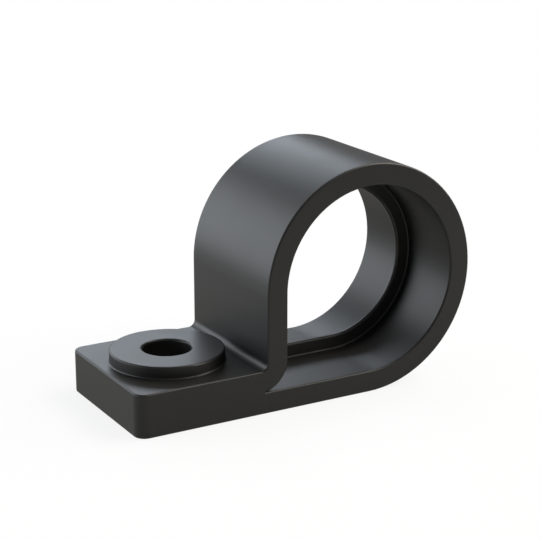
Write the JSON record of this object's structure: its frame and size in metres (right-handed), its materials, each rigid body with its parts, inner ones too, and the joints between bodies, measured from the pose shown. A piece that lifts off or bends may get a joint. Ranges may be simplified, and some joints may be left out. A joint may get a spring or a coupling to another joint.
{
  "type": "conduit clamp",
  "caption": "P-shaped one-piece moulded clamp that holds corrugated conduit in a ribbed loop and screws down through a bossed flat tab.",
  "frame": {"origin": "where the axis of the screw hole meets the mounting face", "axes": "+X from the screw towards the loop, +Y along the conduit, +Z away from the mounting surface, along the screw hole"},
  "size_m": [0.0508, 0.0212, 0.032],
  "materials": {
    "moulded_body": "charcoal black moulded polyamide with a smooth satin skin and small rounded edges"
  },
  "bodies": {
    "root": {"clamp_body": "moulded_body"}
  },
  "joints": []
}
